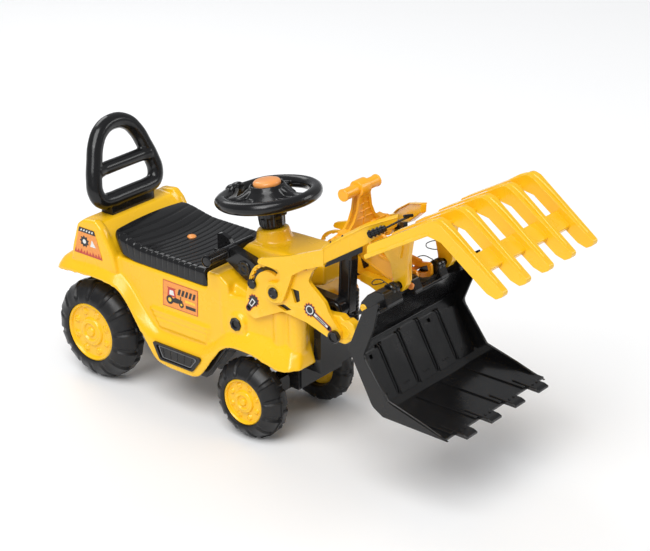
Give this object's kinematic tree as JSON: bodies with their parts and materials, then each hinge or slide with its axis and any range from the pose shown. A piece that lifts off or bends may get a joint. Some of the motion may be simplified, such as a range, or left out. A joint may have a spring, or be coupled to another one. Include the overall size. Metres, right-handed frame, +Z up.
{
  "type": "ride on digger",
  "caption": "Child's push-along ride-on digger: a seat and backrest, a steering wheel, and a lever-worked boom that carries a rake and a tipping bucket.",
  "frame": {"origin": "on the ground, under the middle of the bounding box, boom raised and wheels straight", "axes": "+X forward towards the bucket, +Y to the rider's left, +Z up"},
  "size_m": [0.945, 0.2652, 0.4945],
  "materials": {
    "yellow_plastic": "glossy yellow moulded plastic",
    "lever_plastic": "glossy orange-yellow moulded plastic",
    "black_plastic": "glossy black moulded plastic",
    "tyre_plastic": "satin black blow-moulded plastic tyre",
    "orange_plastic": "satin orange moulded plastic",
    "axle_steel": "drawn steel rod"
  },
  "bodies": {
    "vehicle": {"body_shell": "yellow_plastic", "chassis": "black_plastic", "backrest": "black_plastic", "seat": "black_plastic", "seat_badge": "orange_plastic", "footrest_pad_right": "black_plastic", "footrest_pad_left": "black_plastic", "side_frame_right": "yellow_plastic", "side_frame_left": "yellow_plastic", "front_bracket_right": "yellow_plastic", "front_bracket_left": "yellow_plastic", "frame_pin_right": "black_plastic", "frame_pin_left": "black_plastic", "boom_pin_right": "black_plastic", "boom_pin_left": "black_plastic", "lift_lever_pin": "black_plastic", "rear_axle": "axle_steel"},
    "boom": {"boom_arm_right": "yellow_plastic", "boom_arm_left": "yellow_plastic", "boom_beam_right": "black_plastic", "boom_beam_left": "black_plastic", "bucket_lever_rod": "black_plastic", "lift_post": "black_plastic", "rake": "yellow_plastic", "rake_lock_pin": "black_plastic"},
    "lift_lever": {"lift_lever": "black_plastic", "lever_knob": "black_plastic"},
    "bucket_lever": {"bucket_lever": "lever_plastic"},
    "bucket": {"bucket": "black_plastic", "bucket_pin_right": "black_plastic", "bucket_pin_left": "black_plastic", "bucket_lug_pin": "orange_plastic"},
    "steering": {"steering_wheel": "black_plastic", "steering_column": "axle_steel"},
    "horn": {"horn_button": "orange_plastic"},
    "front_carriage": {"front_carrier": "black_plastic", "front_axle": "axle_steel"},
    "rear_wheel_right": {"rear_wheel_right_tyre": "tyre_plastic", "rear_wheel_right_disc": "yellow_plastic"},
    "rear_wheel_left": {"rear_wheel_left_tyre": "tyre_plastic", "rear_wheel_left_disc": "yellow_plastic"},
    "front_wheel_right": {"front_wheel_right_tyre": "tyre_plastic", "front_wheel_right_disc": "yellow_plastic"},
    "front_wheel_left": {"front_wheel_left_tyre": "tyre_plastic", "front_wheel_left_disc": "yellow_plastic"}
  },
  "joints": [
    {"name": "boom_hinge", "type": "hinge", "parent": "vehicle", "child": "boom", "pos_m": [0.02463, 0, 0.277], "axis": [0, 1, 0], "range_deg": [0, 13.7]},
    {"name": "lift_lever_hinge", "type": "hinge", "parent": "vehicle", "child": "lift_lever", "pos_m": [0.00863, -0.056, 0.277], "axis": [0, 1, 0], "range_deg": [0, 13.7]},
    {"name": "bucket_lever_hinge", "type": "hinge", "parent": "boom", "child": "bucket_lever", "pos_m": [0.12863, 0, 0.362], "axis": [0, 1, 0], "range_deg": [-4.5, 12]},
    {"name": "bucket_hinge", "type": "hinge", "parent": "boom", "child": "bucket", "pos_m": [0.24463, 0, 0.341], "axis": [0, -1, 0], "range_deg": [-14.5, 38.5]},
    {"name": "steering_hinge", "type": "hinge", "parent": "vehicle", "child": "steering", "pos_m": [-0.06087, 0, 0.344], "axis": [-0.1564, 0, 0.9877], "range_deg": [-28, 28]},
    {"name": "front_axle_steer", "type": "hinge", "parent": "vehicle", "child": "front_carriage", "pos_m": [-0.03337, 0, 0.0691], "axis": [0, 0, 1], "range_deg": [-8, 8]},
    {"name": "horn_press", "type": "slide", "parent": "steering", "child": "horn", "axis": [0.1564, 0, -0.9877], "range_m": [0, 0.0025], "stiffness_N_per_m": 500, "springref_m": -0.001},
    {"name": "rear_wheel_right_spin", "type": "hinge", "parent": "vehicle", "child": "rear_wheel_right", "pos_m": [-0.38337, -0.09, 0.0891], "axis": [0, 1, 0], "continuous": true},
    {"name": "rear_wheel_left_spin", "type": "hinge", "parent": "vehicle", "child": "rear_wheel_left", "pos_m": [-0.38337, 0.09, 0.0891], "axis": [0, 1, 0], "continuous": true},
    {"name": "front_wheel_right_spin", "type": "hinge", "parent": "front_carriage", "child": "front_wheel_right", "pos_m": [-0.03337, -0.09, 0.0691], "axis": [0, 1, 0], "continuous": true},
    {"name": "front_wheel_left_spin", "type": "hinge", "parent": "front_carriage", "child": "front_wheel_left", "pos_m": [-0.03337, 0.09, 0.0691], "axis": [0, 1, 0], "continuous": true}
  ],
  "couplings": [
    {"joint": "lift_lever_hinge", "follows": "boom_hinge", "ratio": 1},
    {"joint": "bucket_hinge", "follows": "bucket_lever_hinge", "ratio": 3.2},
    {"joint": "front_axle_steer", "follows": "steering_hinge", "ratio": 0.28}
  ]
}
